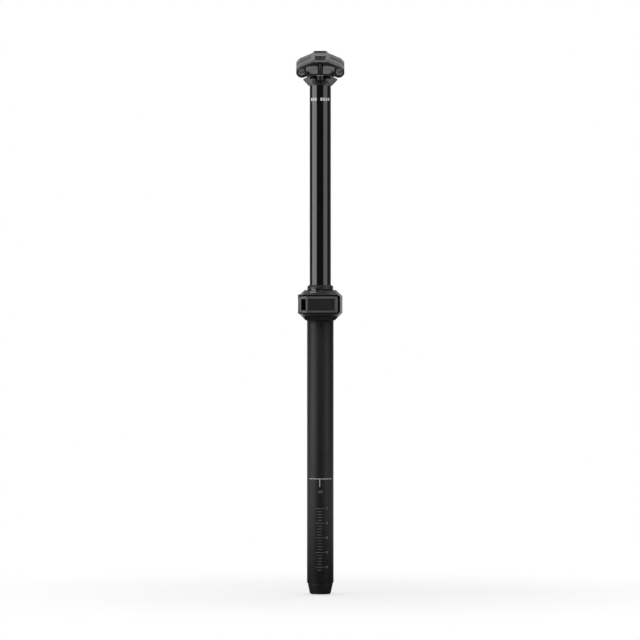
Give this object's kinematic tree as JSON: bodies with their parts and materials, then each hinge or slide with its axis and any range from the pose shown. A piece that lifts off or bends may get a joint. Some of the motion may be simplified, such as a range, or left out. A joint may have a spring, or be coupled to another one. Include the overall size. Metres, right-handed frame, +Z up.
{
  "type": "dropper seatpost",
  "caption": "Wireless dropper seatpost: a sliding inner post with a two-bolt saddle clamp, in an outer tube whose collar carries a clip-in battery.",
  "frame": {"origin": "on the post's axis at the underside of the collar, where the frame's seat tube begins", "axes": "+Z up the post, -Y to the front where the battery sits, +X to the right for someone facing the battery"},
  "size_m": [0.056, 0.0532, 0.6314],
  "materials": {
    "post_black": "gloss black anodised tube",
    "tube_black": "satin black anodised tube",
    "collar_black": "satin black anodised",
    "clamp_black": "satin black anodised, forged",
    "bolt_black": "black oxide steel",
    "washer_bright": "bright steel",
    "inner_steel": "turned steel",
    "inner_alloy": "turned alloy, bare",
    "brass": "turned brass",
    "seal_rubber": "black rubber",
    "bushing_plastic": "low-friction bushing plastic",
    "foam": "oiled foam",
    "battery_black": "satin black shell",
    "latch_black": "satin black",
    "cap_black": "satin black",
    "light_lens": "smoked lens",
    "button_grey": "soft grey",
    "board_green": "coated circuit board",
    "cable_film": "flat film cable",
    "gold_contact": "plated contact"
  },
  "bodies": {
    "outer_assembly": {"outer_tube": "tube_black", "flat_cable": "cable_film", "upper_bushing": "bushing_plastic", "foam_ring": "foam", "collar_cap": "collar_black", "wiper_seal": "seal_rubber", "collar_body": "collar_black", "electronics_cover": "cap_black", "status_light": "light_lens", "control_board": "board_green", "contact_block": "cap_black", "battery_contacts": "gold_contact", "power_strip": "cable_film", "contact_gasket": "seal_rubber", "latch_pin": "inner_steel", "rod_foot": "inner_alloy", "bottom_out_bumper": "seal_rubber", "push_rod_seal": "seal_rubber", "actuator_bracket": "inner_alloy", "bracket_standoffs": "inner_steel", "bracket_screws": "bolt_black", "actuator_gearbox": "brass", "actuator_motor": "inner_steel", "bottom_cap": "cap_black", "bottom_cap_o_ring": "seal_rubber", "piston_rod": "inner_steel", "main_piston": "inner_alloy", "piston_glide_ring": "bushing_plastic", "valve_retainer": "inner_alloy", "poppet_spring": "inner_steel"},
    "post_assembly": {"inner_post": "post_black", "anti_rotation_keys": "brass", "lower_bushing": "bushing_plastic", "bushing_retaining_ring": "inner_steel", "inner_seal_head": "inner_alloy", "seal_head_seals": "seal_rubber", "seal_head_ring": "inner_steel", "top_out_bumper": "seal_rubber", "post_head": "clamp_black", "head_o_ring": "seal_rubber", "air_valve": "brass", "valve_cap": "cap_black"},
    "oil_air_divider": {"floating_piston": "inner_alloy", "floating_piston_seals": "seal_rubber"},
    "saddle_clamp": {"upper_clamp": "clamp_black", "lower_cradle": "clamp_black"},
    "front_nut": {"front_barrel_nut": "bolt_black"},
    "rear_nut": {"rear_barrel_nut": "bolt_black"},
    "front_bolt": {"front_clamp_bolt": "bolt_black", "front_bolt_washer": "washer_bright"},
    "rear_bolt": {"rear_clamp_bolt": "bolt_black", "rear_bolt_washer": "washer_bright"},
    "air_valve_pin": {"valve_pin": "brass"},
    "button": {"function_button": "button_grey"},
    "latch": {"battery_latch": "latch_black"},
    "battery_pack": {"battery": "battery_black"},
    "actuator_screw": {"lead_screw": "inner_steel"},
    "valve_train": {"valve_carriage": "bushing_plastic", "push_rod": "inner_steel", "poppet_valve": "inner_steel"}
  },
  "joints": [
    {"name": "post_travel", "type": "slide", "parent": "outer_assembly", "child": "post_assembly", "axis": [0, 0, 1], "range_m": [-0.225, 0], "stiffness_N_per_m": 250, "springref_m": 0.2},
    {"name": "divider_travel", "type": "slide", "parent": "post_assembly", "child": "oil_air_divider", "axis": [0, 0, 1], "range_m": [0, 0.0487]},
    {"name": "saddle_tilt", "type": "hinge", "parent": "post_assembly", "child": "saddle_clamp", "pos_m": [0, -0.00605, 0.3127], "axis": [1, 0, 0], "range_deg": [-7, 7]},
    {"name": "front_nut_turn", "type": "hinge", "parent": "saddle_clamp", "child": "front_nut", "pos_m": [0, -0.01572, 0.3019], "axis": [1, 0, 0], "range_deg": [-14, 14]},
    {"name": "front_bolt_screw_in", "type": "slide", "parent": "front_nut", "child": "front_bolt", "axis": [0, 0, 1], "range_m": [-0.002, 0.002]},
    {"name": "rear_nut_turn", "type": "hinge", "parent": "saddle_clamp", "child": "rear_nut", "pos_m": [0, 0.008, 0.30915], "axis": [1, 0, 0], "range_deg": [-14, 14]},
    {"name": "rear_bolt_screw_in", "type": "slide", "parent": "rear_nut", "child": "rear_bolt", "axis": [0, -0.2079, 0.9781], "range_m": [-0.0025, 0.0025]},
    {"name": "air_valve_press", "type": "slide", "parent": "post_assembly", "child": "air_valve_pin", "axis": [0, 0, -1], "range_m": [0, 0.0012], "stiffness_N_per_m": 800},
    {"name": "button_press", "type": "slide", "parent": "outer_assembly", "child": "button", "axis": [0, 0, -1], "range_m": [0, 0.0005], "stiffness_N_per_m": 300},
    {"name": "latch_swing", "type": "hinge", "parent": "outer_assembly", "child": "latch", "pos_m": [-0.0239, -0.022, 0.0183], "axis": [0, 0, -1], "range_deg": [0, 90]},
    {"name": "battery_slide", "type": "slide", "parent": "outer_assembly", "child": "battery_pack", "axis": [0, -1, 0], "range_m": [0, 0.0084]},
    {"name": "lead_screw_turn", "type": "hinge", "parent": "outer_assembly", "child": "actuator_screw", "pos_m": [0, 0, -0.298], "axis": [0, 0, 1], "range_deg": [0, 1200]},
    {"name": "valve_lift", "type": "slide", "parent": "outer_assembly", "child": "valve_train", "axis": [0, 0, 1], "range_m": [0, 0.0015], "deforming": ["poppet_spring"]}
  ],
  "couplings": [
    {"joint": "divider_travel", "follows": "post_travel", "ratio": -0.21633},
    {"joint": "front_nut_turn", "follows": "saddle_tilt", "ratio": -1.4435},
    {"joint": "front_bolt_screw_in", "follows": "saddle_tilt", "m_per_rad": 0.0095954},
    {"joint": "rear_nut_turn", "follows": "saddle_tilt", "ratio": -1.2329},
    {"joint": "rear_bolt_screw_in", "follows": "saddle_tilt", "m_per_rad": -0.012946},
    {"joint": "latch_swing", "follows": "battery_slide", "rad_per_m": 166.67},
    {"joint": "lead_screw_turn", "follows": "valve_lift", "rad_per_m": 12566}
  ]
}
